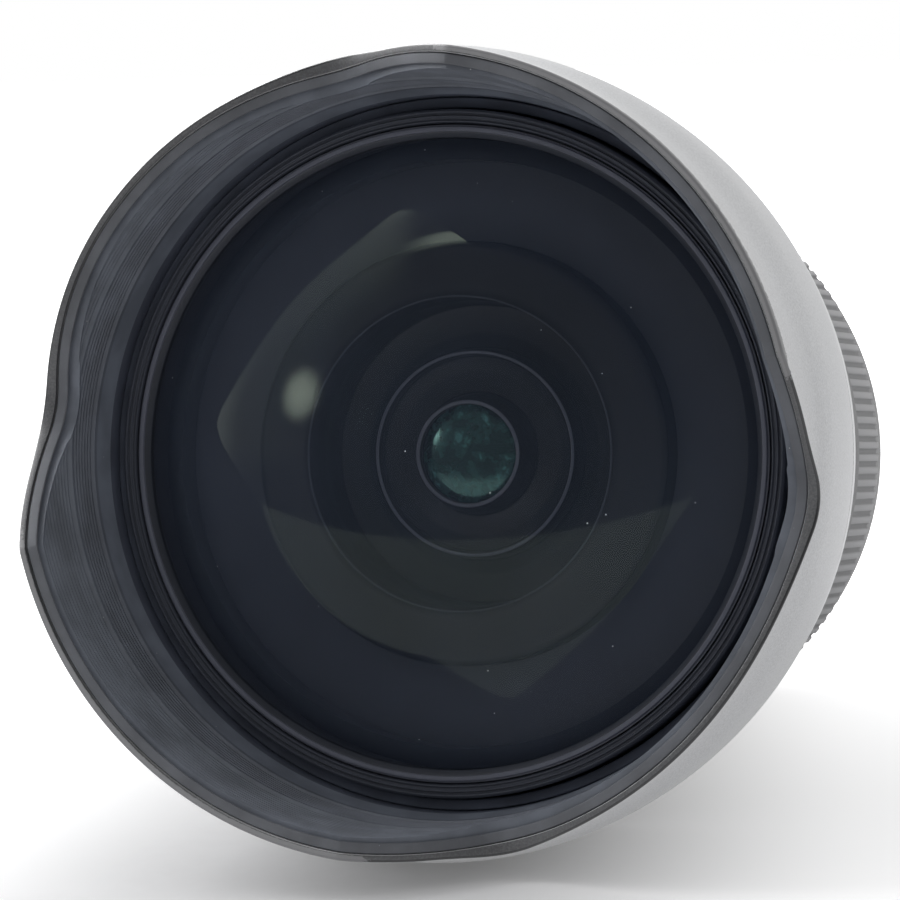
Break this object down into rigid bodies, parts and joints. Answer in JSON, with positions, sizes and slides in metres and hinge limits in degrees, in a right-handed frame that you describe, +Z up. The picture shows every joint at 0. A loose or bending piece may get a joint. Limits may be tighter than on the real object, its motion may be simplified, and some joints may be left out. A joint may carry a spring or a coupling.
{
  "type": "wide-angle zoom lens",
  "caption": "Wide-angle zoom camera lens with a bulging front element, a fixed petal hood, ribbed zoom and focus rings, an iris and a metal bayonet mount.",
  "frame": {"origin": "centre of the bayonet's seat, where the optical axis meets the camera's mounting face", "axes": "+Z up; the optical axis lies along Y and the lens looks along -Y; +X is to the right seen from the front, and the lens is rolled so that its top faces 48 degrees up from +X"},
  "size_m": [0.098, 0.1375, 0.098],
  "materials": {
    "shell_satin": "satin black with a fine speckle, worn to bare edge on the hood's rim",
    "hood_lining": "matt blue-black with fine concentric light-trapping grooves",
    "barrel_satin": "satin black paint",
    "anodised_black": "matt black anodised",
    "anodised_silver": "plain turned",
    "rubber_black": "matt ribbed rubber",
    "mount_chrome": "hard chrome, turned",
    "steel": "bright steel",
    "brass": "plain brass",
    "gold_contact": "gold-plated",
    "plastic_black": "matt black",
    "plastic_grey": "dark grey, satin",
    "bead_white": "glossy white",
    "board_green": "solder-masked circuit board",
    "glass_front": "multicoated, deep blue-black",
    "glass_inner": "multicoated, green to purple reflections",
    "leaf_black": "dry black coating on thin spring steel"
  },
  "bodies": {
    "barrel": {"hood_shell": "shell_satin", "hood_liner": "hood_lining", "front_barrel": "barrel_satin", "front_screws": "steel", "middle_barrel": "barrel_satin", "guide_tube": "anodised_black", "cam_snap_ring": "steel", "rear_barrel": "barrel_satin", "rear_screws": "steel", "mount_ring": "mount_chrome", "mount_screws": "steel", "mount_gasket": "rubber_black", "index_bead": "bead_white", "rear_baffle": "plastic_black", "contact_block": "plastic_black", "contact_pins": "gold_contact", "rear_frame": "anodised_black", "rear_element": "glass_inner", "rear_retainer": "anodised_black", "main_board": "board_green", "guide_rods": "steel", "focus_motor": "steel", "switch_panel": "plastic_black", "button_bracket": "plastic_black"},
    "zoom_ring": {"zoom_sleeve": "barrel_satin", "zoom_grip": "rubber_black", "zoom_key": "steel", "cam_tube": "anodised_silver"},
    "focus_ring": {"focus_sleeve": "barrel_satin", "focus_grip": "rubber_black"},
    "front_group": {"front_element": "glass_front", "front_retainer": "anodised_black", "front_cell": "anodised_black", "cell_screws": "steel", "front_carrier": "anodised_black", "front_rollers": "brass", "second_element": "glass_inner", "second_retainer": "anodised_black", "third_element": "glass_inner", "third_retainer": "anodised_black"},
    "variator": {"variator_carrier": "anodised_black", "variator_rollers": "brass", "variator_front_element": "glass_inner", "variator_rear_element": "glass_inner", "iris_base": "anodised_black", "iris_cover": "anodised_black"},
    "iris_drive": {"iris_ring": "anodised_black"},
    "blade_1": {"iris_blade_1": "leaf_black"},
    "blade_2": {"iris_blade_2": "leaf_black"},
    "blade_3": {"iris_blade_3": "leaf_black"},
    "blade_4": {"iris_blade_4": "leaf_black"},
    "blade_5": {"iris_blade_5": "leaf_black"},
    "blade_6": {"iris_blade_6": "leaf_black"},
    "blade_7": {"iris_blade_7": "leaf_black"},
    "focus_group": {"focus_cell": "plastic_black", "focus_element": "glass_inner"},
    "screw_shaft": {"lead_screw": "steel"},
    "hold_key": {"hold_button": "plastic_grey"},
    "focus_slider": {"focus_switch": "plastic_grey"},
    "range_slider": {"range_switch": "plastic_grey"}
  },
  "joints": [
    {"name": "zoom_turn", "type": "hinge", "parent": "barrel", "child": "zoom_ring", "pos_m": [0, 0, 0], "axis": [0, -1, 0], "range_deg": [0, 70]},
    {"name": "front_slide", "type": "slide", "parent": "barrel", "child": "front_group", "axis": [0, 1, 0], "range_m": [0, 0.01001]},
    {"name": "variator_slide", "type": "slide", "parent": "barrel", "child": "variator", "axis": [0, -1, 0], "range_m": [0, 0.00501]},
    {"name": "focus_turn", "type": "hinge", "parent": "barrel", "child": "focus_ring", "pos_m": [0, 0, 0], "axis": [0, -1, 0], "range_deg": [0, 120]},
    {"name": "focus_slide", "type": "slide", "parent": "barrel", "child": "focus_group", "axis": [0, -1, 0], "range_m": [0, 0.00301]},
    {"name": "lead_screw_turn", "type": "hinge", "parent": "barrel", "child": "screw_shaft", "pos_m": [0.01685, 0, -0.01414], "axis": [0, -1, 0], "range_deg": [0, 150.2]},
    {"name": "iris_turn", "type": "hinge", "parent": "variator", "child": "iris_drive", "pos_m": [0, 0, 0], "axis": [0, -1, 0], "range_deg": [0, 2.66]},
    {"name": "iris_blade_1_pivot", "type": "hinge", "parent": "variator", "child": "blade_1", "pos_m": [0.02425, 0, 0], "axis": [0, -1, 0], "range_deg": [0, 22.05]},
    {"name": "iris_blade_2_pivot", "type": "hinge", "parent": "variator", "child": "blade_2", "pos_m": [0.01512, 0, 0.01896], "axis": [0, -1, 0], "range_deg": [0, 22.05]},
    {"name": "iris_blade_3_pivot", "type": "hinge", "parent": "variator", "child": "blade_3", "pos_m": [-0.0054, 0, 0.02364], "axis": [0, -1, 0], "range_deg": [0, 22.05]},
    {"name": "iris_blade_4_pivot", "type": "hinge", "parent": "variator", "child": "blade_4", "pos_m": [-0.02185, 0, 0.01052], "axis": [0, -1, 0], "range_deg": [0, 22.05]},
    {"name": "iris_blade_5_pivot", "type": "hinge", "parent": "variator", "child": "blade_5", "pos_m": [-0.02185, 0, -0.01052], "axis": [0, -1, 0], "range_deg": [0, 22.05]},
    {"name": "iris_blade_6_pivot", "type": "hinge", "parent": "variator", "child": "blade_6", "pos_m": [-0.0054, 0, -0.02364], "axis": [0, -1, 0], "range_deg": [0, 22.05]},
    {"name": "iris_blade_7_pivot", "type": "hinge", "parent": "variator", "child": "blade_7", "pos_m": [0.01512, 0, -0.01896], "axis": [0, -1, 0], "range_deg": [0, 22.05]},
    {"name": "hold_button_press", "type": "slide", "parent": "barrel", "child": "hold_key", "axis": [-0.3803, -0.2297, 0.8959], "range_m": [0, 0.0008], "stiffness_N_per_m": 400, "springref_m": -0.001},
    {"name": "focus_switch_slide", "type": "slide", "parent": "barrel", "child": "focus_slider", "axis": [0.6691, 0, 0.7431], "range_m": [0, 0.0024]},
    {"name": "range_switch_slide", "type": "slide", "parent": "barrel", "child": "range_slider", "axis": [0.6691, 0, 0.7431], "range_m": [0, 0.0024]}
  ],
  "couplings": [
    {"joint": "front_slide", "follows": "zoom_turn", "m_per_rad": 0.0081851},
    {"joint": "variator_slide", "follows": "zoom_turn", "m_per_rad": 0.0040926},
    {"joint": "focus_slide", "follows": "focus_turn", "m_per_rad": 0.0014324},
    {"joint": "lead_screw_turn", "follows": "focus_turn", "ratio": 1.25},
    {"joint": "iris_blade_1_pivot", "follows": "iris_turn", "ratio": 8.2669},
    {"joint": "iris_blade_2_pivot", "follows": "iris_turn", "ratio": 8.2669},
    {"joint": "iris_blade_3_pivot", "follows": "iris_turn", "ratio": 8.2669},
    {"joint": "iris_blade_4_pivot", "follows": "iris_turn", "ratio": 8.2669},
    {"joint": "iris_blade_5_pivot", "follows": "iris_turn", "ratio": 8.2669},
    {"joint": "iris_blade_6_pivot", "follows": "iris_turn", "ratio": 8.2669},
    {"joint": "iris_blade_7_pivot", "follows": "iris_turn", "ratio": 8.2669}
  ]
}
